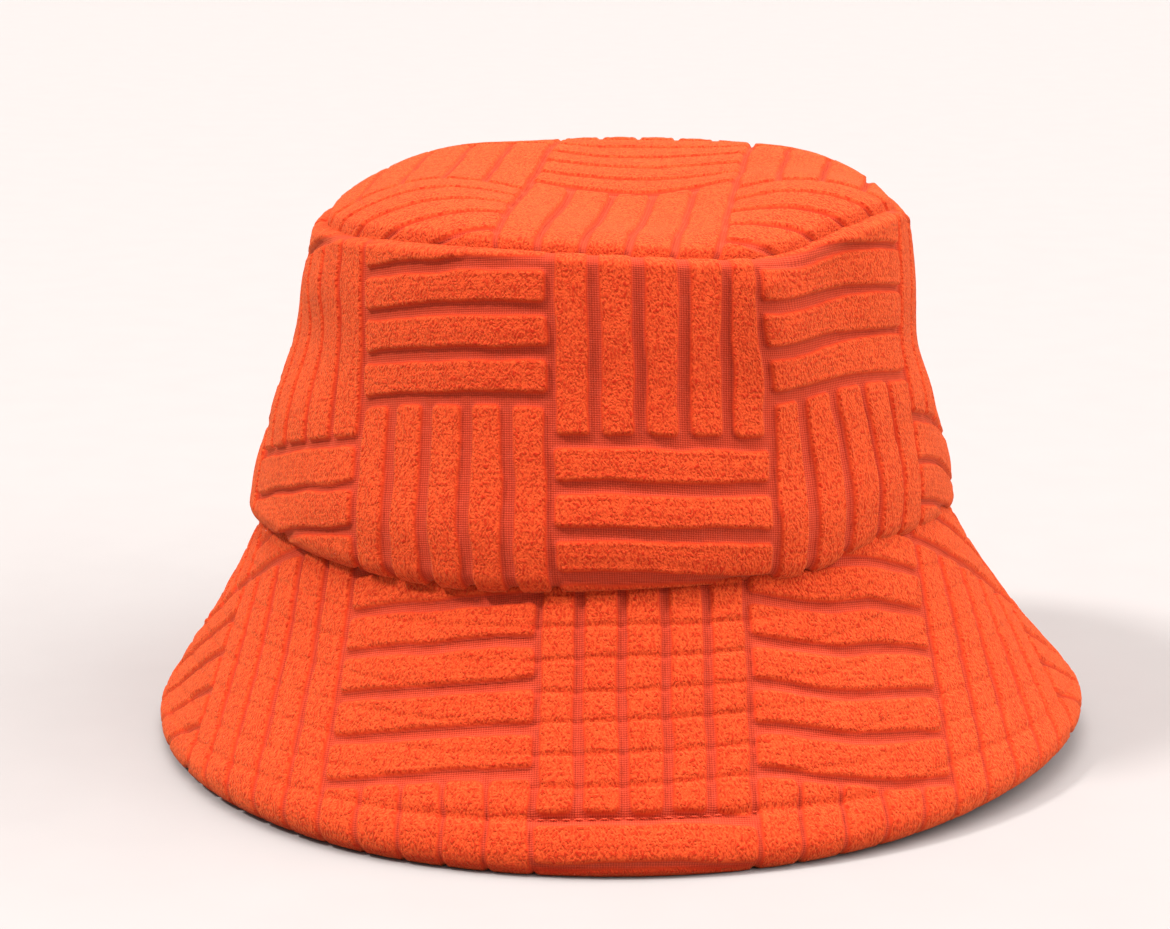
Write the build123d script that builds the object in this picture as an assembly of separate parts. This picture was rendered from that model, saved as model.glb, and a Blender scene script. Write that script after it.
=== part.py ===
from build123d import *
import math
import os

# Soft bucket hat in rib-pile terry cloth, standing on its rim.
# +Z is up, -Y is the front, and the origin is the centre of the circle that the rim stands on.
# Lengths are in millimetres, and every ring is a section in the X-Z plane turned about Z.

# Overall shape of the shell
HEAD_OPENING_RADIUS = 90.6  # inside of the sweatband at the brim: a head of 57 cm
CROWN_BASE_RADIUS = 98.0
CROWN_BASE_HEIGHT = 63.0
CROWN_SHOULDER_RADIUS = 81.9
CROWN_SHOULDER_HEIGHT = 137.2
TOP_EDGE_RADIUS = 81.0
TOP_EDGE_HEIGHT = 141.4
TOP_APEX_HEIGHT = 154.0
RIM_RADIUS = 128.5
BRIM_SEAM_RADIUS = 94.4  # middle of the brim's thickness where it joins the crown
BRIM_SEAM_HEIGHT = 61.0

# Thickness of the layers, and the room left between two of them
CROWN_TERRY = 3.4
BRIM_TERRY = 2.8
INTERLINING = 0.4
LINING = 0.8
SWEATBAND = 1.4
LAYER_GAP = 0.3
THREAD = 0.8
SIDE_SEAM_GAP = 0.3

# Rolled hem at the rim, which has a flat underside that the hat stands on
HEM_RADIUS = 4.0
HEM_CENTRE_HEIGHT = 2.6
HEM_LAP = 0.6  # how far the roll reaches back over the end of the layers inside it

# Rows of topstitching round the brim, measured down the slope from the crown
STITCH_ROWS = 8
FIRST_ROW = 6.5
ROW_SPACING = 7.6

# Sweatband: a short straight throat at the head opening, then a band that follows the crown
SWEATBAND_BOTTOM = 61.5
THROAT_TOP = 68.5
SWEATBAND_TOP = 90.0
SWEATBAND_STITCH_DROP = 2.5

# Lining and its heights
LINING_BOTTOM = 62.0
LINING_SHOULDER = 134.5
LINING_APEX = 150.0

# Blank care label, sewn by its top edge into the lining seam at the centre back
LABEL_WIDTH = 28.0
LABEL_LENGTH = 36.0
LABEL_THICKNESS = 0.8
LABEL_PIVOT_Y = 75.3
LABEL_PIVOT_Z = 134.0
LABEL_EDGE_DROP = 0.6  # from the seam that it turns about to the top of the label

FULL_TURN = 360.0


def side_radius(height, inset=0.0):
    """Radius of the crown's sloping side at a height, a given depth inside its outer face."""
    rise = (height - CROWN_BASE_HEIGHT) / (CROWN_SHOULDER_HEIGHT - CROWN_BASE_HEIGHT)
    return CROWN_BASE_RADIUS + rise * (CROWN_SHOULDER_RADIUS - CROWN_BASE_RADIUS) - inset


HEM_CENTRE_RADIUS = RIM_RADIUS - HEM_RADIUS
BRIM_RUN = HEM_CENTRE_RADIUS - BRIM_SEAM_RADIUS
BRIM_DROP = BRIM_SEAM_HEIGHT - HEM_CENTRE_HEIGHT
BRIM_SLOPE_LENGTH = math.hypot(BRIM_RUN, BRIM_DROP)
SLOPE_OUT = BRIM_RUN / BRIM_SLOPE_LENGTH
SLOPE_DOWN = BRIM_DROP / BRIM_SLOPE_LENGTH
INNER_LAYER_END = BRIM_SLOPE_LENGTH - HEM_LAP - LAYER_GAP


def brim_point(along, off):
    """A point of the brim's section, measured down its slope from the crown and outwards from its middle."""
    radius = BRIM_SEAM_RADIUS + along * SLOPE_OUT + off * SLOPE_DOWN
    height = BRIM_SEAM_HEIGHT - along * SLOPE_DOWN + off * SLOPE_OUT
    return radius, height


def turned(section, start=0.0, arc=FULL_TURN):
    """Turn a section in the X-Z plane about Z through an arc that begins at a heading."""
    ring = revolve(section, Axis.Z, arc)
    return Rot(0, 0, start) * ring


def half_turned(section, half, seam_radius):
    """The front or back half of a ring, with room for the side seams at its two ends."""
    trim = math.degrees(SIDE_SEAM_GAP / 2 / seam_radius)
    start = trim if half == "back" else 180.0 + trim
    return turned(section, start, 180.0 - 2 * trim)


def polygon(points):
    """A flat face in the X-Z plane from (radius, height) corners."""
    return make_face(Plane.XZ * Polyline(*points, close=True))


def brim_strip(inner, outer, start=0.0, end=BRIM_SLOPE_LENGTH):
    """Section of one flat layer of the brim, between two depths of its thickness."""
    corners = [brim_point(start, inner), brim_point(start, outer), brim_point(end, outer), brim_point(end, inner)]
    return polygon(corners)


def cap_arc(edge_radius, edge_height, apex_height):
    """Arc of a shallow spherical cap in the X-Z plane, from its edge up to the axis."""
    rise = apex_height - edge_height
    radius = (edge_radius**2 + rise**2) / (2 * rise)
    half_angle = math.degrees(math.asin(edge_radius / radius))
    return CenterArc((0, apex_height - radius), radius, 90.0 - half_angle, half_angle)


def dome_section(edge_radius, edge_bottom, edge_top, apex_top, thickness, inner_edge_radius):
    """Section of a shallow dome with an upright edge, thick enough to be one closed skin."""
    apex_bottom = apex_top - thickness
    edges = [
        cap_arc(edge_radius, edge_top, apex_top),
        Line((edge_radius, edge_top), (edge_radius, edge_bottom)),
        Line((edge_radius, edge_bottom), (inner_edge_radius, edge_bottom)),
        cap_arc(inner_edge_radius, edge_bottom, apex_bottom),
        Line((0, apex_bottom), (0, apex_top)),
    ]
    return make_face(Plane.XZ * (Curve() + edges))


def thread_ring(radius, height, diameter=THREAD):
    """One row of thread as a thin closed ring."""
    return turned(Plane.XZ * Pos(radius, height) * Circle(diameter / 2))


def crown_side(half):
    bottom, top = CROWN_BASE_HEIGHT, CROWN_SHOULDER_HEIGHT
    corners = [
        (side_radius(bottom), bottom),
        (side_radius(top), top),
        (side_radius(top, CROWN_TERRY), top),
        (side_radius(bottom, CROWN_TERRY), bottom),
    ]
    return half_turned(polygon(corners), half, CROWN_BASE_RADIUS)


def crown_top():
    bottom = CROWN_SHOULDER_HEIGHT + LAYER_GAP
    seat = TOP_EDGE_RADIUS - CROWN_TERRY
    return turned(dome_section(TOP_EDGE_RADIUS, bottom, TOP_EDGE_HEIGHT, TOP_APEX_HEIGHT, CROWN_TERRY, seat))


def brim_upper(half):
    """Top cloth of the brim, which rolls round the rim as the hem and lies flat on what it stands on."""
    inner = INTERLINING / 2 + LAYER_GAP / 2
    cloth = brim_strip(inner, inner + BRIM_TERRY)
    hem = Plane.XZ * Pos(HEM_CENTRE_RADIUS, HEM_CENTRE_HEIGHT) * Circle(HEM_RADIUS)
    reach = 2 * HEM_RADIUS
    beyond = brim_strip(-reach, reach, BRIM_SLOPE_LENGTH - HEM_LAP, BRIM_SLOPE_LENGTH + reach)
    above_ground = polygon([(0, 0), (2 * RIM_RADIUS, 0), (2 * RIM_RADIUS, RIM_RADIUS), (0, RIM_RADIUS)])
    roll = hem & beyond & above_ground
    return half_turned(cloth, half, RIM_RADIUS) + half_turned(roll, half, RIM_RADIUS)


def brim_interlining(half):
    return half_turned(brim_strip(-INTERLINING / 2, INTERLINING / 2, 0.0, INNER_LAYER_END), half, RIM_RADIUS)


def brim_under(half):
    outer = -(INTERLINING / 2 + LAYER_GAP / 2)
    return half_turned(brim_strip(outer - BRIM_TERRY, outer, 0.0, INNER_LAYER_END), half, RIM_RADIUS)


def lining_side(half):
    bottom, top = LINING_BOTTOM, LINING_SHOULDER
    outer = CROWN_TERRY + LAYER_GAP
    corners = [
        (side_radius(bottom, outer), bottom),
        (side_radius(top, outer), top),
        (side_radius(top, outer + LINING), top),
        (side_radius(bottom, outer + LINING), bottom),
    ]
    return half_turned(polygon(corners), half, CROWN_BASE_RADIUS)


def lining_top():
    edge = side_radius(LINING_SHOULDER, CROWN_TERRY + LAYER_GAP) - LAYER_GAP
    bottom = LINING_SHOULDER + LAYER_GAP
    return turned(dome_section(edge, bottom, bottom + LINING, LINING_APEX, LINING, edge - LINING))


def sweatband():
    back = CROWN_TERRY + LAYER_GAP + LINING + LAYER_GAP
    face = back + SWEATBAND
    corners = [
        (HEAD_OPENING_RADIUS, SWEATBAND_BOTTOM),
        (HEAD_OPENING_RADIUS, THROAT_TOP),
        (side_radius(SWEATBAND_TOP, face), SWEATBAND_TOP),
        (side_radius(SWEATBAND_TOP, back), SWEATBAND_TOP),
        (side_radius(SWEATBAND_BOTTOM, back), SWEATBAND_BOTTOM),
    ]
    return turned(polygon(corners))


def sweatband_thread():
    height = SWEATBAND_TOP - SWEATBAND_STITCH_DROP
    face = CROWN_TERRY + LINING + 2 * LAYER_GAP + SWEATBAND
    return thread_ring(side_radius(height, face + THREAD / 2 + LAYER_GAP), height)


def top_seam_thread():
    height = CROWN_SHOULDER_HEIGHT - THREAD / 2
    return thread_ring(side_radius(height, CROWN_TERRY + THREAD), height)


def brim_seam_thread():
    return thread_ring(BRIM_SEAM_RADIUS + THREAD, CROWN_BASE_HEIGHT - THREAD)


def brim_stitch(row):
    """One row of topstitching, a thin ring that stands just clear of the brim's top cloth."""
    surface = INTERLINING / 2 + LAYER_GAP / 2 + BRIM_TERRY
    along = FIRST_ROW + row * ROW_SPACING
    radius, height = brim_point(along, surface + THREAD / 2 + LAYER_GAP / 2)
    return thread_ring(radius, height)


def care_label():
    top = LABEL_PIVOT_Z - LABEL_EDGE_DROP
    middle = top - LABEL_LENGTH / 2
    return Pos(0, LABEL_PIVOT_Y, middle) * Box(LABEL_WIDTH, LABEL_THICKNESS, LABEL_LENGTH)


pieces = {
    "crown_top": crown_top(),
    "lining_top": lining_top(),
    "sweatband": sweatband(),
    "sweatband_thread": sweatband_thread(),
    "top_seam_thread": top_seam_thread(),
    "brim_seam_thread": brim_seam_thread(),
    "care_label": care_label(),
}
for side in ("front", "back"):
    pieces[f"crown_side_{side}"] = crown_side(side)
    pieces[f"brim_upper_{side}"] = brim_upper(side)
    pieces[f"brim_interlining_{side}"] = brim_interlining(side)
    pieces[f"brim_under_{side}"] = brim_under(side)
    pieces[f"lining_side_{side}"] = lining_side(side)
for number in range(STITCH_ROWS):
    pieces[f"brim_stitch_{number + 1}"] = brim_stitch(number)

os.makedirs("parts", exist_ok=True)
for name, piece in pieces.items():
    export_step(piece, f"parts/{name}.step")
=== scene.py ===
import math

import bmesh
import bpy
import numpy as np
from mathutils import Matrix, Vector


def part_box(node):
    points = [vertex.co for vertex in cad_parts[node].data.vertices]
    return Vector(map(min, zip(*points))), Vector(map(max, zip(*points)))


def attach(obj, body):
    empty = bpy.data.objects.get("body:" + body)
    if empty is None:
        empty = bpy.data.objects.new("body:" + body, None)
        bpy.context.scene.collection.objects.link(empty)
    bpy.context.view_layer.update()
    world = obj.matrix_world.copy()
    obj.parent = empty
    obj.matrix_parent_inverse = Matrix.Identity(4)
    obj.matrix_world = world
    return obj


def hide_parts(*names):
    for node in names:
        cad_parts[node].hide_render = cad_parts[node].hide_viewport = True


# A terry-cloth bucket hat standing on a pale floor. The cloth panels are dense meshes laid out in their own
# flat pattern, so the basket weave of the pile runs over each one as it was cut. Lengths are in millimetres
# until a mesh is made. The heading of a point is 0 at the front (-Y) and grows towards +X.

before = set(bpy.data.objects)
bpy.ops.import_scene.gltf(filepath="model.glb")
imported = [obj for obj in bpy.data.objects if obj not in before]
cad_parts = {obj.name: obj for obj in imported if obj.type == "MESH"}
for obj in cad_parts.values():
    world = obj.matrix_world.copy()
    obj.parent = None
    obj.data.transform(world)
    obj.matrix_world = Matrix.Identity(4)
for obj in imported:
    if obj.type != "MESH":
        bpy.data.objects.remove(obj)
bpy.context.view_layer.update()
MM = 0.001

# ---------------------------------------------------------------- basket weave of the pile
RIB_PITCH = 11.2
RIBS_PER_TILE = 5
RIB_WIDTH = 8.3
RIB_SWELL = 1.7  # how much wider a rib is where the cloth is slack and the gaps close
RIB_DRIFT = 0.45  # slow wander of a rib's edges
RIB_RAGGED = 0.14  # short unevenness of a rib's edges
TILE_SIDE_GAP = 0.5  # bare ground beside the end of a rib that lies along u
TILE_END_GAP = 1.3  # bare ground beyond the end of a rib that lies along v
PILE_HEIGHT = 1.5
LOOP_HEIGHT = 0.08  # how much the tips of the pile differ in height
CORNER = 1.6  # radius of a rib's corners

# ---------------------------------------------------------------- crown and brim
SIDE_CONE = 0.215  # sine of the crown side's half angle, as it was cut
SIDE_TOP_REACH = 377.0  # from the cone's point to the top seam, along the cloth
BRIM_CONE = 0.458
BRIM_TOP_REACH = 206.0
TOP_CURL = 2.5  # radius of the fold at the crown's top edge
BASE_CURL = 4.0  # radius of the crown's lowest edge, where it turns under
BASE_TURN = math.radians(115)
HEM = 3.9  # radius of the rolled rim
BRIM_THICKNESS = 4.4
BRIM_RISE = 3.5  # how far above the crown's lowest edge the brim is sewn on
FLOOR_CLEARANCE = 0.05  # the hem is pressed flat below this height
STITCH_ROWS = 8
STITCH_PULL = 0.22  # how deep a row of stitches draws the cloth in
STITCH_REACH = 0.55  # how far to each side of a row that goes
HEM_ROW_PULL = 0.8
HEM_ROW_REACH = 1.6
FIRST_ROW = 7.5
ROW_SPACING = 8.0

CELL = 0.55  # mesh spacing of the outer cloths
SIDE_HALF = math.pi / 2 - 0.003  # a half panel's reach round the hat, in radians
BRIM_HALF = math.pi / 2 - 0.002
SIDE_SEAM = 0.012  # how far in radians the dip at a side seam spreads
BRIM_SEAM = 0.010
SEAM_DIP = 1.2


def around(heading, stops):
    """A smooth value round the hat from its values at some headings in degrees."""
    at = np.array(sorted(stops), float)
    val = np.array([stops[k] for k in sorted(stops)], float)
    at = np.concatenate([at - 360, at, at + 360])
    val = np.concatenate([val, val, val])
    slope = np.gradient(val, at)
    h = (np.degrees(heading) + 180) % 360 - 180
    i = np.clip(np.searchsorted(at, h) - 1, 0, len(at) - 2)
    gap = at[i + 1] - at[i]
    f = (h - at[i]) / gap
    a, b = val[i], val[i + 1]
    ma, mb = slope[i] * gap, slope[i + 1] * gap
    from_a = a * (2 * f**3 - 3 * f**2 + 1) + ma * (f**3 - 2 * f**2 + f)
    return from_a + b * (3 * f**2 - 2 * f**3) + mb * (f**3 - f**2)


def noise(u, v, seed, size=1.0):
    """Smooth random values from -1 to 1 over a plane, with features of a given size."""
    table = np.random.default_rng(seed).uniform(-1, 1, (128, 128))
    u, v = u / size + 1000, v / size + 1000
    iu, iv = np.floor(u).astype(int), np.floor(v).astype(int)
    fu, fv = u - iu, v - iv
    fu, fv = fu * fu * (3 - 2 * fu), fv * fv * (3 - 2 * fv)
    a, b = table[iu % 128, iv % 128], table[(iu + 1) % 128, iv % 128]
    c, d = table[iu % 128, (iv + 1) % 128], table[(iu + 1) % 128, (iv + 1) % 128]
    return (a * (1 - fu) + b * fu) * (1 - fv) + (c * (1 - fu) + d * fu) * fv


def step(x, low, high):
    """A smooth rise from 0 at low to 1 at high."""
    f = np.clip((x - low) / (high - low), 0, 1)
    return f * f * (3 - 2 * f)


def bell(x, centre, width):
    """A smooth bump that is 1 at its centre."""
    return np.exp(-(((x - centre) / width) ** 2))


def weave(u, v, column, first_edge, across_edge, shifts, seed, slack=0.0, ribs=RIBS_PER_TILE,
          last_row=9, run_on=()):
    """Height of the pile, 0 to 1, at a point of the cloth.

    Columns of tiles are laid side by side from first_edge, and across_edge is where one row of tiles ends and
    the next starts. shifts raises that edge by column. Ribs run along v in every other tile, like the squares
    of a draughts board, and along u in the rest. Where slack is 1 the gaps between the ribs close up. Tiles
    stop alternating after last_row, and in the columns of run_on the tile above the edge runs on to the end.
    """
    u = u + RIB_DRIFT * noise(u, v, seed, 9) + RIB_RAGGED * noise(u, v, seed + 1, 2.2)
    v = v + RIB_DRIFT * noise(u, v, seed + 2, 9) + RIB_RAGGED * noise(u, v, seed + 3, 2.2)
    c = np.floor((u - first_edge) / column)
    odd = (c % 2) == 1
    across = u - first_edge - c * column
    pitch_u = column / RIBS_PER_TILE
    tile = RIB_PITCH * ribs
    raised = np.zeros_like(u)
    for key, value in shifts.items():
        raised = np.where(c == key, value, raised)
    down = v - across_edge + raised
    row = np.floor(down / tile)
    final = np.full_like(u, last_row)
    for key in run_on:
        final = np.where(c == key, -1, final)
    row = np.minimum(row, final)
    along = down - row * tile
    below = np.where(row == final, tile, tile - along)
    upright = ((row % 2) == 1) != odd
    rib = RIB_WIDTH + RIB_SWELL * slack
    groove_u = (pitch_u - rib) / 2
    groove_v = (RIB_PITCH - rib) / 2
    qu, qv = across % pitch_u, along % RIB_PITCH
    rib_side_u = np.minimum(qu, pitch_u - qu) - groove_u
    rib_side_v = np.minimum(qv, RIB_PITCH - qv) - groove_v
    rib_end_u = np.minimum(across, column - across) - TILE_SIDE_GAP
    rib_end_v = np.minimum(along, below) - TILE_END_GAP
    du = CORNER - np.where(upright, rib_side_u, rib_end_u)
    dv = CORNER - np.where(upright, rib_end_v, rib_side_v)
    inside = CORNER - np.hypot(np.maximum(du, 0), np.maximum(dv, 0)) - np.minimum(0, np.maximum(du, dv))
    rise = step(inside, -0.35, 0.75)
    lip = 0.10 * bell(inside, 0.9, 0.6)
    crown = 0.12 * step(inside, 0.5, RIB_WIDTH / 2)
    return rise * (0.86 + crown + lip)


def on_pattern(s, turn, top_reach, cone):
    """Where a point of a conical panel lies on its flat pattern, from its length down it and its turn."""
    reach = top_reach + s
    return reach * np.sin(cone * turn), reach * np.cos(cone * turn) - top_reach


def loops(u, v, seed):
    """Uneven tips of the pile loops, -1 to 1, longer down the cloth than across it."""
    return 0.6 * noise(u, v * 0.6, seed, 1.35) + 0.4 * noise(u, v * 0.7, seed + 1, 0.8)


# ---------------------------------------------------------------- meshes
def make_object(name, mesh):
    """A mesh as an object of the scene."""
    obj = bpy.data.objects.new(name, mesh)
    bpy.context.scene.collection.objects.link(obj)
    return obj


def grid_object(name, points, values=None, closed=False, flip=False):
    """A smooth sheet from a grid of points in millimetres, with its points' values as attributes."""
    rows, cols = points.shape[:2]
    index = np.arange(rows * cols).reshape(rows, cols)
    nxt = np.roll(index, -1, axis=1) if closed else index[:, 1:]
    here = index if closed else index[:, :-1]
    quads = np.stack([here[:-1], nxt[:-1], nxt[1:], here[1:]], axis=-1).reshape(-1, 4)
    if flip:
        quads = quads[:, ::-1]
    mesh = bpy.data.meshes.new(name)
    mesh.vertices.add(rows * cols)
    mesh.vertices.foreach_set("co", (points.reshape(-1) * MM).astype(np.float32))
    mesh.loops.add(quads.size)
    mesh.loops.foreach_set("vertex_index", quads.reshape(-1).astype(np.int32))
    mesh.polygons.add(len(quads))
    mesh.polygons.foreach_set("loop_start", np.arange(0, quads.size, 4, dtype=np.int32))
    mesh.polygons.foreach_set("use_smooth", np.ones(len(quads), bool))
    for key, value in (values or {}).items():
        if value.ndim == 3:
            layer = mesh.attributes.new(key, "FLOAT_VECTOR", "POINT")
            layer.data.foreach_set("vector", value.reshape(-1).astype(np.float32))
        else:
            layer = mesh.attributes.new(key, "FLOAT", "POINT")
            layer.data.foreach_set("value", value.reshape(-1).astype(np.float32))
    mesh.update(calc_edges=True)
    mesh.validate()
    return make_object(name, mesh)


def normals(points, closed=False):
    """Unit normals of a grid of points."""
    if closed:
        wide = np.concatenate([points[:, -1:], points, points[:, :1]], axis=1)
        du = np.gradient(wide, axis=1)[:, 1:-1]
    else:
        du = np.gradient(points, axis=1)
    dv = np.gradient(points, axis=0)
    n = np.cross(dv, du)
    return n / np.maximum(np.linalg.norm(n, axis=2, keepdims=True), 1e-9)


def polar(heading, radius, height, centre_x=0.0):
    """Points at a heading and radius round an upright axis."""
    return np.stack([centre_x + radius * np.sin(heading), -radius * np.cos(heading), height], axis=-1)


def cloth_values(u, v, pile, press_and_shade):
    """What the materials read: the place on the flat pattern in metres, the pile, and the press, which
    darkens the colour where the cloth is pinched and also holds painted shade on the hem's underside.
    """
    spot = np.stack([u * MM, v * MM, np.zeros_like(u)], axis=-1)
    return {"cloth": spot, "pile": pile, "press_and_shade": press_and_shade}


# ---------------------------------------------------------------- outline of the hat, by heading
def top_seam(heading):
    """Centre, radius and height of the seam round the top of the crown."""
    radius = around(heading, {-180: 79.5, -135: 80, -90: 79.8, -45: 80, 0: 80, 15: 80.4, 27: 82, 45: 79,
                              62: 79.4, 90: 79, 135: 79.5})
    height = around(heading, {-180: 143.4, -130: 143, -110: 141.4, -90: 139.2, -67: 140.2, -42: 142,
                              -20: 142.6, 0: 142, 22: 140.4, 33: 140.6, 50: 144.2, 68: 145.8, 90: 141.8,
                              112: 144.4, 140: 144.4})
    return -0.3, radius, height


def crown_edge(heading):
    """Centre, radius and height of the lowest edge of the crown, where it hangs over the brim."""
    radius = around(heading, {-180: 96, -135: 96.4, -90: 97.2, -45: 97, -20: 97.4, 0: 96.8, 40: 96.4,
                              90: 96.2, 135: 96})
    height = around(heading, {-180: 61, -135: 60, -90: 58, -67: 61.5, -45: 61.3, -20: 61, 0: 62.5, 20: 63,
                              33: 62.4, 45: 66, 57: 65.2, 75: 63, 90: 59, 135: 61})
    return -2.5, radius, height


def overhang(heading):
    """How far the crown's lowest edge stands out over the seam that joins it to the brim."""
    return around(heading, {-180: 5, -100: 5.5, -45: 7, 0: 7, 25: 6, 40: 4, 80: 3.6, 110: 4.5})


def rim_edge(heading):
    """Centre, radius and height of the rim's underside."""
    radius = around(heading, {-180: 127.5, -135: 128, -90: 126.4, -78: 126.4, -66: 127.4, -46: 130,
                              -30: 131.6, -15: 131.2, 0: 130.6, 15: 130.4, 31: 130.6, 53: 130.6,
                              77: 130.8, 90: 130.5, 135: 129})
    height = around(heading, {-180: 0, -90: 0, -70: 0.8, -45: 1.4, -20: 0.6, 0: 0.2, 15: 0.4, 31: 1.6,
                              53: 4.2, 77: 5.4, 95: 3.2, 120: 1.0, 150: 0})
    return 0.0, radius, height


# ---------------------------------------------------------------- crown side
SIDE_SPAN = 92  # about the wall's radius and its length down, both in millimetres
SIDE_COLUMN = 56.0
SIDE_FIRST_EDGE = -14.0
SIDE_ACROSS_EDGE = 43.5
SIDE_SHIFTS = {-3: 10.0, -1: 10.0, 1: 11.5, 3: 10.0}


def side_wall(heading, rows):
    """Section of the crown's side, from the top seam to where it turns under, over the brim.

    Gives the length down the cloth, the radius, the height, the centre, and how far down the wall a point is.
    """
    cx_t, r_t, z_t = top_seam(heading)
    cx_b, r_b, z_b = crown_edge(heading)
    a, b = TOP_CURL, BASE_CURL
    wall = np.hypot(r_b - r_t, z_t - z_b)
    curl_top, curl_base = a * math.pi / 2, b * BASE_TURN
    length = curl_top + wall - a - b + curl_base
    s = np.linspace(0, 1, rows)[:, None] * length[None, :]
    f = np.clip((s - curl_top) / (wall - a - b), 0, 1)
    turn_top = np.clip(s / a, 0, math.pi / 2)
    turn_base = np.clip((s - curl_top - (wall - a - b)) / b, 0, BASE_TURN)
    g = (a + f * (wall - a - b)) / wall
    radius = r_t + (r_b - r_t) * g
    height = z_t + (z_b - z_t) * g
    puff = 1.7 * bell(g, 0.83, 0.12) - 1.1 * bell(g, 0.42, 0.18)
    radius = radius + puff
    on_top, on_base = s < curl_top, turn_base > 0
    curled = r_t - a + a * np.sin(turn_top) + (r_b - r_t) * a / wall * np.sin(turn_top)
    radius = np.where(on_top, curled, radius)
    height = np.where(on_top, z_t - a + a * np.cos(turn_top), height)
    radius = np.where(on_base, radius - b + b * np.cos(turn_base), radius)
    height = np.where(on_base, height - b * np.sin(turn_base), height)
    centre = cx_t + (cx_b - cx_t) * g
    return s - curl_top * 0.6, radius, height, centre, g


def side_shape(heading, g):
    """Dents, folds and facets of the limp crown, as a change of its radius."""
    deg = np.degrees(heading)
    facet = 1.6 * bell(deg, 27, 5.5) * bell(g, 0, 0.5) * step(g, 0.0, 0.08)
    hollow = -2.2 * bell(deg, 45, 12) * bell(g, 0.22, 0.3) * step(g, 0.0, 0.08)
    buckle = 1.5 * bell(deg, -68, 16) * np.sin(g * 12.5 + 0.6) * step(g, 0.05, 0.3)
    fold = 1.3 * bell(deg, 74, 14) * np.sin(g * 11 + 1.5) * step(g, 0.25, 0.6)
    dent = -1.9 * bell(deg, 92, 26) * bell(g, 0.52, 0.2)
    soft = 0.9 * noise(deg, g * 60, 11, 26) + 0.4 * noise(deg, g * 60, 12, 11)
    return facet + hollow + buckle + fold + dent + soft * np.sin(math.pi * np.clip(g, 0, 1))


def crown_side(name, middle, seed):
    """Half of the crown's side, centred on a heading."""
    half = SIDE_HALF
    cols = int(2 * half * SIDE_SPAN / CELL)
    heading = np.linspace(-half, half, cols)
    rows = int(SIDE_SPAN / CELL)
    s, radius, height, centre, g = side_wall(middle + heading, rows)
    turn = np.broadcast_to(heading, s.shape)
    u, v = on_pattern(s, turn, SIDE_TOP_REACH, SIDE_CONE)
    # the cloth is cut a little off the straight, and pulled aside at the facet and at the right
    lean = u - 0.05 * (v - 38) + 5.2 * bell(u, 42, 8) * (1 - step(v, 2, 30))
    lean = lean - 2.6 * bell(u, 80, 20) * np.sin(math.pi * (v - 34) / 42) * step(v, 30, 42)
    climb = 0.03 * (np.clip(u, -14, 42) - 14) + 0.035 * np.clip(u - 42, 0, 56)
    # round the sides the cloth is slack and the ribs close up
    slack = np.maximum(step(u, 52, 86), step(-u, 62, 78)) * (1 - 0.3 * step(v, 60, 75))
    pile = weave(lean, v + climb, SIDE_COLUMN, SIDE_FIRST_EDGE, SIDE_ACROSS_EDGE, SIDE_SHIFTS, seed, slack)
    radius = radius + side_shape(middle + turn, g)
    base = polar(middle + turn, radius, height, centre)
    out = normals(base)
    rim = step(s, -1.5, 1.2) * step(heading + half, 0.003, 0.02) * step(half - heading, 0.003, 0.02)
    side_dip = SEAM_DIP * bell(half - np.abs(turn), 0, SIDE_SEAM)
    tips = LOOP_HEIGHT * loops(lean, v, seed + 20) * pile
    lift = PILE_HEIGHT * pile * (0.25 + 0.75 * rim) + tips - side_dip
    points = base + out * lift[..., None]
    return grid_object(name, points, cloth_values(lean, v, pile, 1 - rim))


# ---------------------------------------------------------------- brim
BRIM_COLUMN = 54.3
BRIM_FIRST_EDGE = -16.5
BRIM_ACROSS_EDGE = 63.5
BRIM_SHIFTS = {-3: 12.2, -2: 11.5, -1: 12.2, 1: 12.2, 2: 11.5, 3: 12.2}
BRIM_RIBS = 6
BRIM_MIDDLE = 10.0  # u at the middle of the front column
BRIM_SPAN = 113  # about the brim's middle radius
BRIM_RUN_ON = (-2, 2)


class Brim:
    """Section of the brim at each heading: a straight slope that rolls round the rim."""

    def __init__(self, heading):
        cx_b, r_b, z_b = crown_edge(heading)
        cx_r, r_r, z_r = rim_edge(heading)
        self.r0 = r_b - overhang(heading)
        self.z0 = z_b + BRIM_RISE
        self.cr = r_r - HEM
        self.cz = z_r + HEM
        self.cx_b = cx_b
        shift = (cx_r - cx_b) * np.sin(heading)
        dr, dz = self.cr + shift - self.r0, self.z0 - self.cz
        span = np.hypot(dr, dz)
        angle = np.arctan2(dr, dz) + np.arcsin(HEM / span)
        self.tr, self.tz = np.sin(angle), -np.cos(angle)
        self.nr, self.nz = np.cos(angle), np.sin(angle)
        self.slope = np.sqrt(span**2 - HEM**2)

    def at(self, s, off):
        """Radius and height of a point at a length down the slope and a distance off the outer face."""
        q = HEM + off
        turn = np.clip((s - self.slope) / HEM, 0, math.pi)
        back = np.maximum(0, s - self.slope - math.pi * HEM)
        along = np.minimum(s, self.slope)
        sag = -1.6 * np.sin(math.pi * np.clip(along / self.slope, 0, 1))
        r = self.r0 + self.tr * along + self.nr * (off + sag)
        z = self.z0 + self.tz * along + self.nz * (off + sag)
        cr = self.r0 + self.tr * self.slope - self.nr * HEM
        cz = self.z0 + self.tz * self.slope - self.nz * HEM
        ar = cr + q * (self.nr * np.cos(turn) + self.tr * np.sin(turn)) - self.tr * back
        az = cz + q * (self.nz * np.cos(turn) + self.tz * np.sin(turn)) - self.tz * back
        rolled = s > self.slope
        return np.where(rolled, ar, r), np.where(rolled, az, z)


def row_at(row, heading):
    """How far down the slope a row of topstitching runs at a heading."""
    wander = 0.7 * noise(np.degrees(heading), np.full_like(heading, row * 50.0), 31, 17)
    return FIRST_ROW + row * ROW_SPACING + wander - 1.2 * np.sin(heading) * (row < 7)


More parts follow.
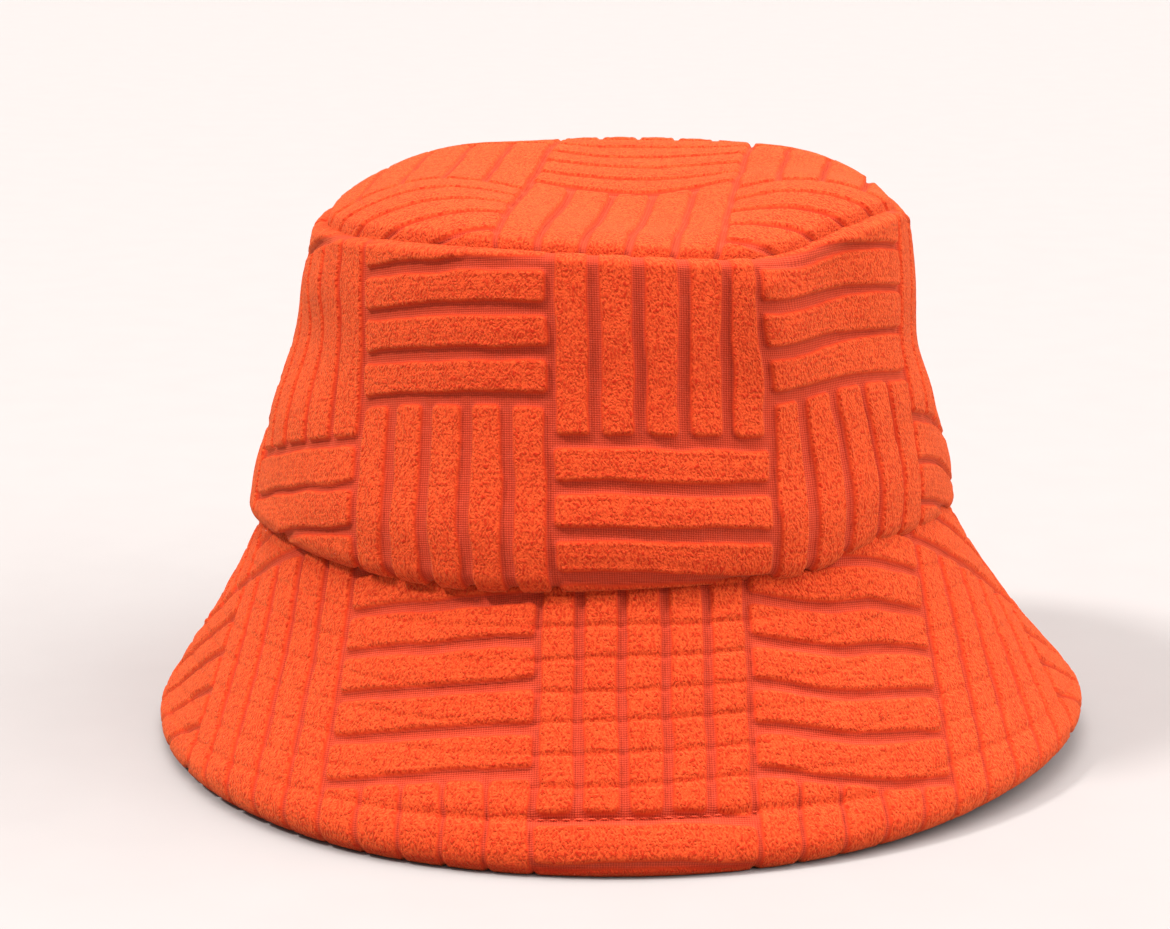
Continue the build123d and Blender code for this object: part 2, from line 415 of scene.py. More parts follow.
def brim_groove(s, heading):
    """How strongly the topstitching draws the brim in at a point, 0 to 1."""
    pull = np.zeros_like(s)
    for row in range(STITCH_ROWS):
        pull = np.maximum(pull, bell(s, row_at(row, heading), STITCH_REACH))
    return pull


def brim_wave(heading, s, shape):
    """Slow unevenness of the brim, as a distance off its face, which dies away at the crown and the rim."""
    deg = np.degrees(heading)
    waves = noise(deg, np.full_like(s, 5.0), 41, 24) * np.clip(s / 60, 0, 1) + 0.5 * noise(deg, s, 42, 15)
    return waves * step(s, 0, 12) * step(shape.slope + 5 - s, 0, 12)


def brim_cloth(name, middle, seed):
    """Half of the brim's top cloth, with the hem that it turns round the rim."""
    half = BRIM_HALF
    cols = int(2 * half * BRIM_SPAN / (CELL * 1.12))
    heading = np.linspace(-half, half, cols)
    shape = Brim(middle + heading)
    total = shape.slope + math.pi * HEM + 6.0
    rows = int(84 / (CELL * 1.08))
    s = np.linspace(0, 1, rows)[:, None] * total[None, :]
    turn = np.broadcast_to(heading, s.shape)
    u, v = on_pattern(s, turn, BRIM_TOP_REACH, BRIM_CONE)
    aside = np.abs(u - BRIM_MIDDLE)
    # the ribs close up towards the sides, above the hem outside the middle column, and over the rim
    slack = 0.2 + 0.35 * step(aside, 55, 85)
    slack = np.maximum(slack, step(s, 50, 58) * step(aside, 26, 28))
    slack = np.maximum(slack, step(s, shape.slope - 4, shape.slope + 2))
    pile = weave(u, v, BRIM_COLUMN, BRIM_FIRST_EDGE, BRIM_ACROSS_EDGE, BRIM_SHIFTS, seed, slack, BRIM_RIBS,
                 run_on=BRIM_RUN_ON)
    # the rows of stitches show most in the middle column
    pull = brim_groove(s, middle + turn) * (1 - 0.55 * step(aside, 26, 29))
    wave = brim_wave(middle + turn, s, shape)
    r, z = shape.at(s, wave)
    base = polar(middle + turn, r, z, shape.cx_b)
    out = normals(base)
    edge = step(s, 0.0, 3.0) * step(total - s, 0.0, 3.0)
    hemmed = step(s, shape.slope - 3, shape.slope + 3)
    puff = 0.2 * (1 - pull) * step(s, 3, 8) * (1 - hemmed)
    last = bell(s, row_at(STITCH_ROWS - 1, middle + turn), HEM_ROW_REACH) * (1 - 0.75 * step(aside, 45, 75))
    lift = PILE_HEIGHT * pile * (1 - 0.3 * pull) * (0.2 + 0.8 * edge) * (1 - 0.45 * hemmed)
    lift = lift + LOOP_HEIGHT * loops(u, v, seed + 20) * pile
    lift = lift - (STITCH_PULL * pull + HEM_ROW_PULL * last) * edge + puff
    lift = lift - SEAM_DIP * bell(half - np.abs(turn), 0, BRIM_SEAM)
    points = base + out * lift[..., None]
    lowest = points[..., 2]
    resting = FLOOR_CLEARANCE + (lowest - FLOOR_CLEARANCE) * 0.03
    points[..., 2] = np.where(lowest < FLOOR_CLEARANCE, resting, lowest)
    # Painted shade: the underside of the rolled hem, at the front, is darkened in its colour through the
    # press, standing for the shade under the rim.
    under = 6.0 * step(s, shape.slope + 0.7 * HEM, shape.slope + 1.15 * HEM) * (1 - 0.7 * step(u, 20, 60))
    return grid_object(name, points, cloth_values(u, v, pile, pull + under))


def brim_lower(name, middle, seed):
    """The brim's under cloth, from the head opening to the turned hem."""
    cols = int(2 * BRIM_HALF * BRIM_SPAN / (CELL * 1.5))
    heading = np.linspace(-BRIM_HALF, BRIM_HALF, cols)
    shape = Brim(middle + heading)
    end = shape.slope - 1.5
    rows = int(68 / (CELL * 1.4))
    s = np.linspace(0, 1, rows)[:, None] * end[None, :]
    turn = np.broadcast_to(heading, s.shape)
    u, v = on_pattern(s, turn, BRIM_TOP_REACH, BRIM_CONE)
    pile = weave(u + 21, v + 9, BRIM_COLUMN, BRIM_FIRST_EDGE, BRIM_ACROSS_EDGE, BRIM_SHIFTS, seed, 0.3,
                 BRIM_RIBS)
    pull = brim_groove(s, middle + turn)
    wave = brim_wave(middle + turn, s, shape)
    r, z = shape.at(s, wave - BRIM_THICKNESS)
    base = polar(middle + turn, r, z, shape.cx_b)
    out = -normals(base)
    lift = 0.8 * PILE_HEIGHT * pile * (1 - 0.8 * pull) + 0.15 * loops(u, v, seed + 20) * pile - 0.6 * pull
    lift = lift * step(s, 0, 3) * step(end - s, 0, 2)
    points = base + out * lift[..., None]
    points[..., 2] = np.maximum(points[..., 2], 0.4)
    return grid_object(name, points, cloth_values(u, v, pile, pull), flip=True)


def brim_core(name, middle):
    """The stiff layer between the brim's two cloths."""
    heading = np.linspace(-math.pi / 2 + 0.004, math.pi / 2 - 0.004, 160)
    shape = Brim(middle + heading)
    s = np.linspace(0, 1, 40)[:, None] * (shape.slope - 4)[None, :] + 1.5
    turn = np.broadcast_to(heading, s.shape)
    wave = brim_wave(middle + turn, s, shape)
    r, z = shape.at(s, wave - BRIM_THICKNESS / 2)
    points = polar(middle + turn, r, z, shape.cx_b)
    reach = BRIM_TOP_REACH + s
    spot = cloth_values(reach * np.sin(BRIM_CONE * turn), reach * np.cos(BRIM_CONE * turn), s * 0, s * 0)
    return grid_object(name, points, spot)


# ---------------------------------------------------------------- top of the crown
TOP_LEVEL = 142.3  # height of the top panel's middle before it is filled out
TOP_FIRST_EDGE = -77.0
TOP_ACROSS_EDGE = -59.2
TOP_SHIFTS = {-1: 11.2, 1: 11.2, 3: 11.2}


def disc(count):
    """An even grid of points on a disc of radius 1, with their distance from its centre and their heading."""
    a, b = np.meshgrid(np.linspace(-1, 1, count), np.linspace(-1, 1, count))
    px, py = a * np.sqrt(1 - b * b / 2), b * np.sqrt(1 - a * a / 2)
    return px, py, np.hypot(px, py), np.arctan2(px, -py)


def top_height(x, y, heading, rho):
    """Height of the top panel: a pillow with a valley at the front and a swell behind it."""
    _, _, seam = top_seam(heading)
    seam = TOP_LEVEL + (seam - TOP_LEVEL) * rho**2
    pillow = 11.8 * (1 - np.abs(rho) ** 5.2)
    reach = np.where(y > -45, 60, 42)
    valley = 0.86 * bell(x, 3, 33) * bell(y, -45, reach)
    swell = 2.2 * bell(x, 0, 50) * bell(y, 34, 40)
    hump_l = 0.3 * bell(x, -42, 20) * bell(y, -22, 26)
    hump_r = 0.2 * bell(x, 50, 18) * bell(y, -22, 24)
    shoulder = bell(np.abs(x), 55, 16) * bell(y, 36, 22)
    soft = 0.6 * noise(x, y, 51, 24)
    inner = 1 - np.abs(rho) ** 6
    return seam + pillow * (1 - valley) + (swell + hump_l + hump_r + shoulder + soft) * inner


def crown_top(name, seed):
    """The round top panel, whose edge tucks down inside the fold of the crown's side."""
    px, py, rho, heading = disc(int(2 * 80 / (CELL * 0.98)))
    cx, radius, _ = top_seam(heading)
    edge = radius - 1.3
    fold = step(rho, 0.955, 1.0)
    x = cx + px * edge
    y = py * edge
    z = top_height(x, y, heading, np.minimum(rho * 0.995, 1)) - 3.4 * fold
    flat = 1 + 0.05 * fold
    u = (x - 0.12 * y) * flat
    v = -(y + 81) * 1.02 - 0.06 * x - y * 0.05 * fold
    slack = 0.75 + 0.25 * step(np.abs(x - 8), 22, 40)
    pile = weave(u, v, SIDE_COLUMN, TOP_FIRST_EDGE, TOP_ACROSS_EDGE, TOP_SHIFTS, seed, slack, last_row=0)
    base = np.stack([x, y, z], axis=-1)
    out = -normals(base)
    lift = PILE_HEIGHT * pile * (1 - 0.8 * fold) + LOOP_HEIGHT * loops(u, v, seed + 20) * pile
    points = base + out * lift[..., None]
    return grid_object(name, points, cloth_values(u, v, pile, fold), flip=True)


# ---------------------------------------------------------------- inside: lining, band, label and thread
def wall_inside(heading, height, inset):
    """A point on the inside of the crown's side."""
    cx_t, r_t, z_t = top_seam(heading)
    cx_b, r_b, z_b = crown_edge(heading)
    f = (z_t - height) / (z_t - z_b)
    return polar(heading, r_t + (r_b - r_t) * f - inset, height, cx_t + (cx_b - cx_t) * np.clip(f, 0, 1.1))


def lining_side(name, middle):
    """Half of the lining of the crown's side, puckered at its two seams."""
    heading = np.linspace(-math.pi / 2 + 0.002, math.pi / 2 - 0.002, 360)
    rows = 100
    _, _, z_t = top_seam(middle + heading)
    f = np.linspace(0, 1, rows)[:, None]
    height = (z_t - 5.5) * (1 - f) + 64.0 * f
    turn = np.broadcast_to(heading, height.shape)
    deg = np.degrees(middle + turn)
    crease = 0.7 * noise(deg, height, 61, 9) + 0.35 * noise(deg * 1.5, height * 0.5, 62, 4)
    pucker = 0.25 * np.sin(deg * 2.4) * (bell(f, 0, 0.05) + bell(f, 1, 0.05))
    points = wall_inside(middle + turn, height, 3.6 - (crease + pucker) * 0.7)
    arc = 85 * turn
    return grid_object(name, points, cloth_values(arc, height, height * 0, height * 0), flip=True)


def lining_top(name):
    """The round lining under the top panel."""
    px, py, rho, heading = disc(150)
    cx, radius, _ = top_seam(heading)
    x, y = cx + px * (radius - 2.7), py * (radius - 2.7)
    z = top_height(x, y, heading, np.minimum(rho, 1)) - 3.4
    z = z - 1.5 * step(rho, 0.9, 1.0) + 0.3 * noise(x, y, 63, 7) * (1 - rho)
    points = np.stack([x, y, z - 1.0], axis=-1)
    return grid_object(name, points, cloth_values(x, y, x * 0, x * 0))


BAND_TOP = 90.0
BAND_BOTTOM = 62.0


def sweatband(name):
    """Folded tape round the head opening, as a closed skin."""
    heading = np.linspace(-math.pi, math.pi, 721)[:-1]
    height_path = [BAND_BOTTOM, BAND_BOTTOM - 0.6, BAND_BOTTOM, 69, 76, 83, BAND_TOP - 0.8, BAND_TOP,
                   BAND_TOP - 0.8]
    inset_path = [5.0, 6.0, 7.0, 6.8, 6.3, 6.1, 6.2, 5.6, 5.0]
    s = np.linspace(0, len(height_path) - 1, 66)
    height = np.interp(s, range(len(height_path)), height_path)[:, None]
    inset = np.interp(s, range(len(inset_path)), inset_path)[:, None]
    turn = np.broadcast_to(heading, (len(s), len(heading)))
    height = np.broadcast_to(height, turn.shape)
    deg = np.degrees(turn)
    ripple = 0.3 * noise(deg, height, 64, 8) + 0.15 * np.sin(deg * 3.1) * step(height, 84, 90)
    points = wall_inside(turn, height, inset + ripple)
    points[..., 2] += 0.35 * noise(deg, deg * 0, 65, 10)
    flat = np.zeros_like(turn)
    return grid_object(name, points, cloth_values(90 * turn, height, flat, flat), closed=True, flip=True)


def stitch_run(name, centres, outs, length, gap, thick, sink=0.0):
    """A row of stitches along a line of points, each a short bowed strand whose ends dip into the cloth."""
    seg = np.linalg.norm(np.diff(centres, axis=0), axis=1)
    dist = np.concatenate([[0], np.cumsum(seg)])
    count = int(dist[-1] / (length + gap))
    rings, sides = 7, 6
    verts, faces = [], []
    round_tube = np.linspace(0, 2 * math.pi, sides, endpoint=False)
    t = np.linspace(0, 1, rings)
    for k in range(count):
        at = (k + 0.1) * (length + gap) + t * length
        p = np.stack([np.interp(at, dist, centres[:, i]) for i in range(3)], axis=1)
        n = np.stack([np.interp(at, dist, outs[:, i]) for i in range(3)], axis=1)
        n /= np.linalg.norm(n, axis=1, keepdims=True)
        bow = thick * (1.1 * np.sin(math.pi * t) - 0.75) - sink
        fat = thick / 2 * (0.45 + 0.55 * np.sin(math.pi * np.clip(t, 0.02, 0.98)) ** 0.5)
        p = p + n * bow[:, None]
        d = np.gradient(p, axis=0)
        d /= np.linalg.norm(d, axis=1, keepdims=True)
        side = np.cross(d, n)
        ring = (p[:, None, :] + side[:, None, :] * (fat[:, None] * np.cos(round_tube))[..., None]
                + n[:, None, :] * (fat[:, None] * np.sin(round_tube))[..., None])
        first = len(verts) * rings * sides
        verts.append(ring.reshape(-1, 3))
        i = np.arange(rings - 1)[:, None] * sides
        j = np.arange(sides)[None, :]
        quad = np.stack([i + j, i + (j + 1) % sides, i + sides + (j + 1) % sides, i + sides + j], axis=-1)
        faces += (quad.reshape(-1, 4) + first).tolist()
        faces.append([first + s for s in range(sides)][::-1])
        faces.append([first + (rings - 1) * sides + s for s in range(sides)])
    mesh = bpy.data.meshes.new(name)
    mesh.from_pydata((np.concatenate(verts) * MM).tolist(), [], faces)
    mesh.shade_smooth()
    mesh.update()
    return make_object(name, mesh)


def brim_row(name, row):
    """One row of topstitching all round the brim."""
    heading = np.linspace(-math.pi, math.pi, 900)
    shape = Brim(heading)
    s = row_at(row, heading)
    wave = brim_wave(heading, s, shape)
    r, z = shape.at(s, wave - 0.35)
    points = polar(heading, r, z, shape.cx_b)
    outs = polar(heading, shape.nr, shape.nz)
    return stitch_run(name, points, outs, 2.6, 0.5, 0.5, sink=0.4)


def inside_row(name, height, inset, length, thick):
    """A row of stitches round the inside of the crown."""
    heading = np.linspace(-math.pi, math.pi, 700)
    points = wall_inside(heading, np.full_like(heading, height), inset)
    outs = -polar(heading, np.ones_like(heading), np.zeros_like(heading))
    return stitch_run(name, points, outs, length, 0.7, thick)


def seam_row(name, radius_inset, drop):
    """The row of thread that joins the top panel to the side, under the folded edges of the cloth."""
    heading = np.linspace(-math.pi, math.pi, 700)
    cx, radius, height = top_seam(heading)
    points = polar(heading, radius - radius_inset, height - drop, cx)
    outs = np.broadcast_to(np.array([0.0, 0.0, -1.0]), points.shape)
    return stitch_run(name, points, outs, 2.4, 0.6, 0.5)


def base_row(name):
    """The row of thread that joins the crown to the brim, hidden where the crown tucks under."""
    heading = np.linspace(-math.pi, math.pi, 700)
    shape = Brim(heading)
    points = polar(heading, shape.r0 - 0.4, shape.z0 - 1.2, shape.cx_b)
    outs = -polar(heading, np.ones_like(heading), np.zeros_like(heading))
    return stitch_run(name, points, outs, 2.6, 0.6, 0.6)


def label(name):
    """A blank satin label that hangs from the lining's seam at the centre back, as a thin closed skin."""
    low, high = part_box("care_label")
    low, high = np.array(low) / MM, np.array(high) / MM
    width, length = high[0] - low[0], high[2] - low[2]
    cols, rows = 44, 60
    across = np.concatenate([np.linspace(-0.5, 0.5, cols), np.linspace(0.5, -0.5, cols)])
    face = np.concatenate([np.full(cols, -0.22), np.full(cols, 0.22)])
    down = np.concatenate([[0], np.linspace(0, 1, rows), [1]])
    x, f = np.meshgrid(across, down)
    thick = np.broadcast_to(face, x.shape).copy()
    thick[0] = 0
    thick[-1] = 0
    curl = 1.4 * x**2 * (1 + f) - 0.5 * np.sin(math.pi * f) + 0.5 * np.sin(3 * math.pi * f) * x
    y = (low[1] + high[1]) / 2 + curl + thick
    z = high[2] - length * f
    points = np.stack([x * width, y, z], axis=-1)
    obj = grid_object(name, points, cloth_values(x * width, f * length, x * 0, x * 0), closed=True)
    shell = bmesh.new()
    shell.from_mesh(obj.data)
    bmesh.ops.remove_doubles(shell, verts=shell.verts, dist=0.00002)
    shell.to_mesh(obj.data)
    shell.free()
    return obj


# ---------------------------------------------------------------- materials
class Nodes:
    """A short way to write a material's nodes."""

    def __init__(self, name, roughness, sheen=0.0, sheen_tint=(1, 1, 1, 1)):
        self.material = bpy.data.materials.new(name)
        self.material.use_nodes = True
        self.tree = self.material.node_tree
        self.shader = self.tree.nodes["Principled BSDF"]
        self.shader.inputs["Roughness"].default_value = roughness
        self.shader.inputs["Specular IOR Level"].default_value = 0.12
        self.shader.inputs["Sheen Weight"].default_value = sheen
        self.shader.inputs["Sheen Roughness"].default_value = 0.45
        self.shader.inputs["Sheen Tint"].default_value = sheen_tint

    def add(self, kind, links=(), **settings):
        """A node, with each named socket linked to a socket or set to a value."""
        node = self.tree.nodes.new(kind)
        for key, value in settings.items():
            setattr(node, key, value)
        for socket, source in dict(links).items():
            target = node.inputs[socket]
            if isinstance(source, bpy.types.NodeSocket):
                self.tree.links.new(source, target)
            else:
                target.default_value = source
        return node

    def value(self, name):
        return self.add("ShaderNodeAttribute", attribute_name=name)

    def scaled(self, vector, scale, turn=0.0):
        node = self.add("ShaderNodeMapping", {"Vector": vector, "Scale": scale})
        node.inputs["Rotation"].default_value = (0, 0, turn)
        return node.outputs[0]

    def noise(self, vector, scale, detail=2.0, rough=0.5):
        links = {"Vector": vector, "Scale": scale, "Detail": detail, "Roughness": rough}
        return self.add("ShaderNodeTexNoise", links).outputs[0]

    def voronoi(self, vector, scale, feature="F1"):
        links = {"Vector": vector, "Scale": scale}
        return self.add("ShaderNodeTexVoronoi", links, feature=feature).outputs["Distance"]

    def math(self, kind, a, b=0.0):
        return self.add("ShaderNodeMath", {0: a, 1: b}, operation=kind).outputs[0]

    def spread(self, value, low, high, to_low=0.0, to_high=1.0):
        links = {"Value": value, 1: low, 2: high, 3: to_low, 4: to_high}
        return self.add("ShaderNodeMapRange", links, clamp=True).outputs[0]

    def mix(self, factor, a, b):
        node = self.add("ShaderNodeMix", data_type="RGBA")
        for index, source in ((0, factor), (6, a), (7, b)):
            if isinstance(source, bpy.types.NodeSocket):
                self.tree.links.new(source, node.inputs[index])
            else:
                node.inputs[index].default_value = source
        return node.outputs[2]

    def colour(self, source):
        self.tree.links.new(source, self.shader.inputs["Base Color"])

    def rough(self, source):
        self.tree.links.new(source, self.shader.inputs["Roughness"])

    def bump(self, height, strength, distance):
        node = self.add("ShaderNodeBump", {"Height": height, "Strength": strength, "Distance": distance})
        self.tree.links.new(node.outputs[0], self.shader.inputs["Normal"])


def thread_grid(m, cloth, pitch_u, pitch_v):
    """Height of an open plain weave: fine lines both ways."""
    spot = m.add("ShaderNodeSeparateXYZ", {0: cloth})
    across = m.math("SINE", m.math("MULTIPLY", spot.outputs[0], 2 * math.pi / (pitch_u * MM)))
    down = m.math("SINE", m.math("MULTIPLY", spot.outputs[1], 2 * math.pi / (pitch_v * MM)))
    return m.math("ADD", m.math("MULTIPLY", across, 0.5), m.math("MULTIPLY", down, 0.5))


def terry(name, bright, deep, ground, ground_dark):
    """Terry cloth: bright looped pile on a darker, finely woven ground."""
    m = Nodes(name, 0.92, 0.22, (1.0, 0.52, 0.17, 1))
    cloth = m.value("cloth").outputs["Vector"]
    pile = m.value("pile").outputs["Fac"]
    press_and_shade = m.value("press_and_shade").outputs["Fac"]
    tall = m.scaled(cloth, (1, 0.6, 1))
    worm = m.noise(tall, 1100, 1, 0.4)
    ridge = m.math("ABSOLUTE", m.math("SUBTRACT", worm, 0.5))
    ridge = m.spread(ridge, 0.0, 0.15, 1.0, 0.0)
    curl = m.voronoi(m.scaled(cloth, (1, 0.8, 1)), 2000, "SMOOTH_F1")
    curl = m.spread(curl, 0.15, 0.7, 1.0, 0.0)
    fine = m.noise(cloth, 4200, 2, 0.6)
    loop = m.math("ADD", m.math("MULTIPLY", ridge, 0.5), m.math("MULTIPLY", curl, 0.40))
    loop = m.math("ADD", loop, m.math("MULTIPLY", m.math("SUBTRACT", fine, 0.35), 0.5))
    tips = m.spread(pile, 0.45, 0.85)
    flank = m.math("MULTIPLY", m.math("SUBTRACT", 1.0, tips), 0.3)
    loop = m.math("ADD", m.math("MULTIPLY", loop, tips), flank)
    grid = thread_grid(m, cloth, 0.62, 0.55)
    fleck = m.noise(cloth, 420, 3)
    slow = m.noise(cloth, 28, 2)
    pile_colour = m.mix(m.spread(loop, 0.05, 0.8), deep, bright)
    pile_colour = m.mix(m.spread(slow, 0.3, 0.7, 0.0, 0.12), pile_colour, deep)
    base_colour = m.mix(m.spread(grid, -0.6, 0.7), ground_dark, ground)
    base_colour = m.mix(m.spread(fleck, 0.5, 0.8, 0.0, 0.16), base_colour, GROUND_FLECK)
    on_pile = m.spread(pile, 0.12, 0.55)
    colour = m.mix(on_pile, base_colour, pile_colour)
    # The press darkens the colour towards the deep pile where the cloth is pinched, and as painted shade on
    # the brim's hem underside.
    colour = m.mix(m.math("MULTIPLY", press_and_shade, 0.12), colour, deep)
    m.colour(colour)
    m.rough(m.spread(fine, 0.3, 0.7, 0.88, 0.98))
    fuzz = m.math("MULTIPLY", loop, on_pile)
    weave_height = m.math("MULTIPLY", grid, m.math("MULTIPLY", m.math("SUBTRACT", 1.0, on_pile), 0.15))
    m.bump(m.math("ADD", fuzz, weave_height), 1.0, 0.00045)
    return m.material


def woven(name, light, dark, pitch_u, pitch_v, roughness, bump, sheen=0.1):
    """Flat woven cloth."""
    m = Nodes(name, roughness, sheen)
    cloth = m.value("cloth").outputs["Vector"]
    grid = thread_grid(m, cloth, pitch_u, pitch_v)
    slub = m.noise(m.scaled(cloth, (1, 0.12, 1)), 700, 3)
    slow = m.noise(cloth, 45, 3)
    colour = m.mix(m.spread(grid, -0.8, 0.8), dark, light)
    colour = m.mix(m.spread(slub, 0.45, 0.8, 0.0, 0.35), colour, dark)
    colour = m.mix(m.spread(slow, 0.3, 0.75, 0.0, 0.2), colour, dark)
    m.colour(colour)
    m.rough(m.spread(slow, 0.3, 0.7, roughness - 0.05, roughness + 0.05))
    m.bump(m.math("ADD", grid, slub), bump, 0.0002)
    return m.material


def twill(name, light, dark):
    """Cotton tape with a diagonal rib."""
    m = Nodes(name, 0.8, 0.12)
    cloth = m.value("cloth").outputs["Vector"]
    turned = m.scaled(cloth, (1, 1, 1), math.radians(52))
    split = m.add("ShaderNodeSeparateXYZ", {0: turned})
    rib = m.math("SINE", m.math("MULTIPLY", split.outputs[0], 2 * math.pi / (0.9 * MM)))
    yarn = m.noise(m.scaled(cloth, (1, 0.3, 1)), 1500, 2)
    colour = m.mix(m.spread(rib, -0.9, 0.6), dark, light)
    colour = m.mix(m.spread(yarn, 0.4, 0.8, 0.0, 0.4), colour, dark)
    m.colour(colour)
    m.rough(m.spread(yarn, 0.3, 0.7, 0.72, 0.86))
    m.bump(m.math("ADD", rib, yarn), 0.5, 0.0003)
    return m.material


def felt(name, light, dark):
    """Stiff nonwoven cloth of matted fibres."""
    m = Nodes(name, 0.85)
    spot = m.add("ShaderNodeTexCoord").outputs["Object"]
    fibre = m.noise(spot, 900, 5, 0.7)
    dots = m.voronoi(spot, 700)
    colour = m.mix(m.spread(fibre, 0.35, 0.7), dark, light)
    m.colour(colour)
    m.rough(m.spread(fibre, 0.3, 0.7, 0.8, 0.92))
    m.bump(m.math("ADD", fibre, dots), 0.3, 0.0003)
    return m.material


def thread(name, light, dark):
    """Spun sewing thread with its twist."""
    m = Nodes(name, 0.62, 0.2, (1.0, 0.7, 0.5, 1))
    spot = m.add("ShaderNodeTexCoord").outputs["Object"]
    links = {"Vector": spot, "Scale": 900.0, "Distortion": 2.0}
    twist = m.add("ShaderNodeTexWave", links, bands_direction="DIAGONAL")
    fuzz = m.noise(spot, 2500, 3)
    m.colour(m.mix(m.spread(twist.outputs["Fac"], 0.2, 0.9), dark, light))
    m.rough(m.spread(fuzz, 0.3, 0.7, 0.55, 0.75))
    m.bump(m.math("ADD", twist.outputs["Fac"], fuzz), 0.5, 0.0002)
    return m.material


def floor_material():
    """Matt pale paper."""
    m = Nodes("floor_paper", 0.75)
    spot = m.add("ShaderNodeTexCoord").outputs["Object"]
    grain = m.noise(spot, 40, 4)
    m.colour(m.mix(m.spread(grain, 0.3, 0.7), FLOOR_DARK, FLOOR_LIGHT))
    return m.material


PILE_BRIGHT = (0.665, 0.070, 0.0150, 1)
PILE_DEEP = (0.40, 0.0125, 0.002, 1)
GROUND_BRIGHT = (0.51, 0.051, 0.020, 1)
GROUND_DARK = (0.33, 0.024, 0.010, 1)
GROUND_FLECK = (0.46, 0.085, 0.055, 1)
FLOOR_DARK = (0.314, 0.291, 0.286, 1)
FLOOR_LIGHT = (0.320, 0.297, 0.292, 1)
TERRY = terry("terry_orange", PILE_BRIGHT, PILE_DEEP, GROUND_BRIGHT, GROUND_DARK)
# Painted shade: the brim's under cloth is the same terry, with its ground given the dark colour throughout to
# stand for the shade under the brim.
UNDER = terry("terry_under_shaded", PILE_BRIGHT, PILE_DEEP, GROUND_DARK, GROUND_DARK)
LINING = woven("lining_cotton", (0.80, 0.13, 0.045, 1), (0.60, 0.07, 0.022, 1), 0.5, 0.5, 0.8, 0.5)
BAND = twill("band_twill", (0.78, 0.11, 0.035, 1), (0.50, 0.045, 0.014, 1))
CORE = felt("interlining_felt", (0.85, 0.83, 0.78, 1), (0.62, 0.60, 0.55, 1))
THREAD = thread("thread_orange", (0.76, 0.085, 0.030, 1), (0.58, 0.045, 0.016, 1))
LABEL = woven("label_satin", (0.88, 0.86, 0.82, 1), (0.74, 0.72, 0.68, 1), 0.22, 0.35, 0.42, 0.25, 0.3)


# ---------------------------------------------------------------- building the hat
def place(obj, node, material, body="hat"):
    """Give a piece its material and its body, and hide the CAD node that it stands for."""
    obj.data.materials.append(material)
    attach(obj, body)
    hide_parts(node)
    return obj


for end, middle, seed in (("front", 0.0, 100), ("back", math.pi, 200)):
    side = place(crown_side(f"side_cloth_{end}", middle, seed), f"crown_side_{end}", TERRY)
    brim = place(brim_cloth(f"brim_cloth_{end}", middle, seed + 1), f"brim_upper_{end}", TERRY)
    lower = brim_lower(f"under_cloth_{end}", middle, seed + 2)
    under = place(lower, f"brim_under_{end}", UNDER)
    core = place(brim_core(f"stiffener_{end}", middle), f"brim_interlining_{end}", CORE)
    inner = place(lining_side(f"lining_cloth_{end}", middle), f"lining_side_{end}", LINING)

top = place(crown_top("top_cloth", 300), "crown_top", TERRY)
inner_top = place(lining_top("lining_cloth_top"), "lining_top", LINING)
band = place(sweatband("band_tape"), "sweatband", BAND)
for row in range(STITCH_ROWS):
    place(brim_row(f"stitches_brim_{row + 1}", row), f"brim_stitch_{row + 1}", THREAD)
place(inside_row("stitches_band", BAND_TOP - 2.5, 6.45, 2.8, 0.55), "sweatband_thread", THREAD)
place(seam_row("stitches_top_seam", 5.0, 2.4), "top_seam_thread", THREAD)
place(base_row("stitches_base_seam"), "brim_seam_thread", THREAD)
tag = place(label("blank_label"), "care_label", LABEL, "label")


# ---------------------------------------------------------------- floor, lights and camera
def floor():
    """The wide flat floor that the hat stands on."""
    mesh = bpy.data.meshes.new("floor")
    r = 6.0
    mesh.from_pydata([(-r, -r, 0), (r, -r, 0), (r, r, 0), (-r, r, 0)], [], [(0, 1, 2, 3)])
    obj = make_object("floor", mesh)
    obj.data.materials.append(floor_material())


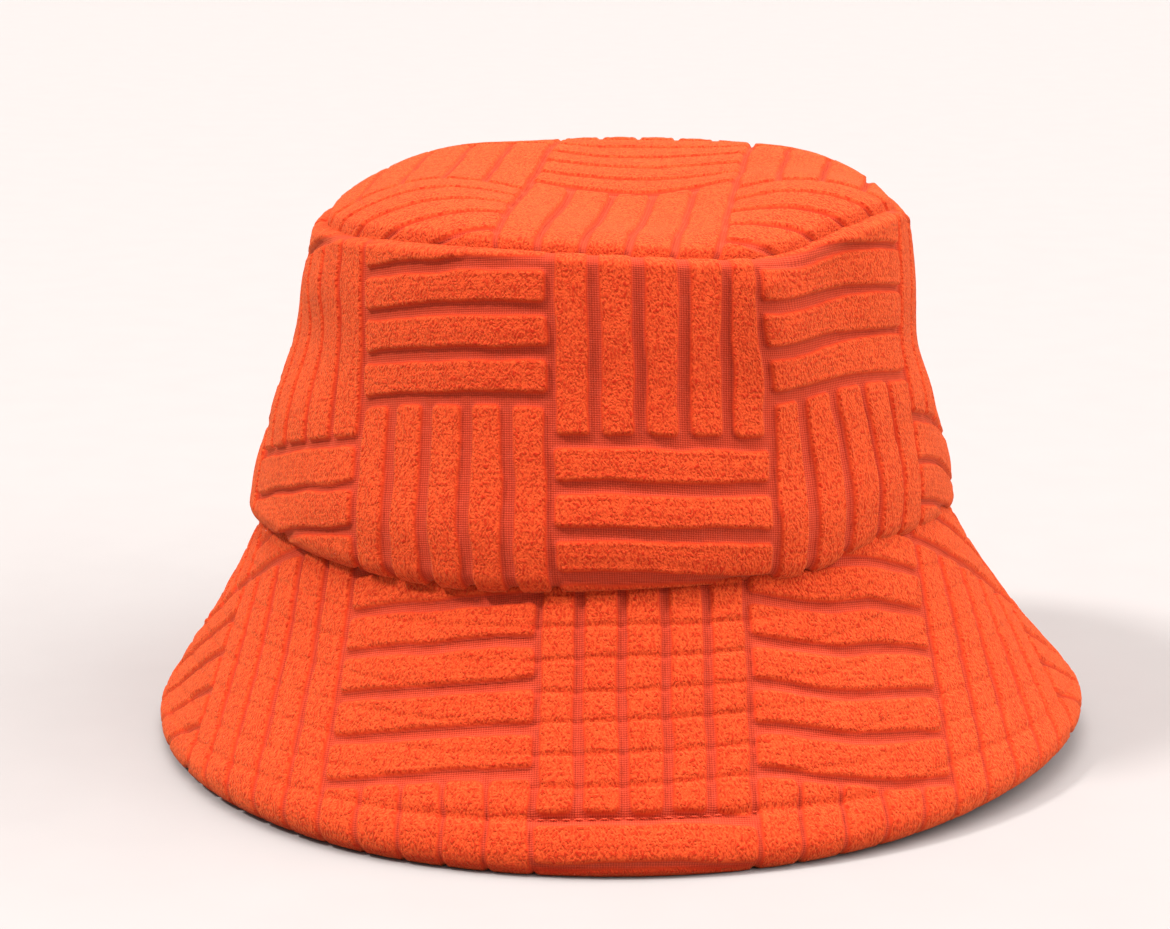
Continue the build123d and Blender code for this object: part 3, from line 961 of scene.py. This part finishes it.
def sun(name, towards, power, spread, colour):
    """A soft distant lamp, given the direction that its light comes from."""
    data = bpy.data.lights.new(name, "SUN")
    data.angle = math.radians(spread)
    data.energy = power
    data.color = colour
    obj = bpy.data.objects.new(name, data)
    bpy.context.scene.collection.objects.link(obj)
    x, y, z = towards
    obj.rotation_euler = (math.atan2(math.hypot(x, y), z), 0, math.atan2(y, x) + math.pi / 2)


def studio_sky():
    """White surroundings that are brightest overhead."""
    world = bpy.data.worlds.new("studio")
    world.use_nodes = True
    tree = world.node_tree
    spot = tree.nodes.new("ShaderNodeTexCoord")
    split = tree.nodes.new("ShaderNodeSeparateXYZ")
    tree.links.new(spot.outputs["Generated"], split.inputs[0])
    square = tree.nodes.new("ShaderNodeMath")
    square.operation = "MULTIPLY"
    tree.links.new(split.outputs["Z"], square.inputs[0])
    tree.links.new(split.outputs["Z"], square.inputs[1])
    rise = tree.nodes.new("ShaderNodeMapRange")
    rise.inputs["To Min"].default_value = 0.20
    rise.inputs["To Max"].default_value = 1.9
    tree.links.new(square.outputs[0], rise.inputs["Value"])
    background = tree.nodes["Background"]
    background.inputs["Color"].default_value = (1.0, 0.985, 0.97, 1)
    tree.links.new(rise.outputs[0], background.inputs["Strength"])
    bpy.context.scene.world = world


floor()
sun("key", (-0.80, -0.22, 1.05), 3.1, 9, (1.0, 0.99, 0.97))
sun("fill", (0.95, -0.22, 0.75), 3.4, 60, (1.0, 0.99, 0.97))
sun("overhead", (-0.05, -0.06, 1.0), 2.35, 40, (1.0, 0.99, 0.97))
studio_sky()
bpy.context.scene.view_settings.view_transform = "Standard"

CAMERA_DISTANCE = 0.750
CAMERA_HEIGHT = 0.252
CAMERA_PITCH = 13.6
CAMERA_SWING = 0.59
camera = bpy.data.objects.new("camera", bpy.data.cameras.new("camera"))
camera.data.lens = 85.1
camera.data.sensor_width = 36.0
camera.location = (0, -CAMERA_DISTANCE, CAMERA_HEIGHT)
camera.rotation_euler = (math.radians(90 - CAMERA_PITCH), 0, math.radians(CAMERA_SWING))
bpy.context.scene.collection.objects.link(camera)
bpy.context.scene.camera = camera
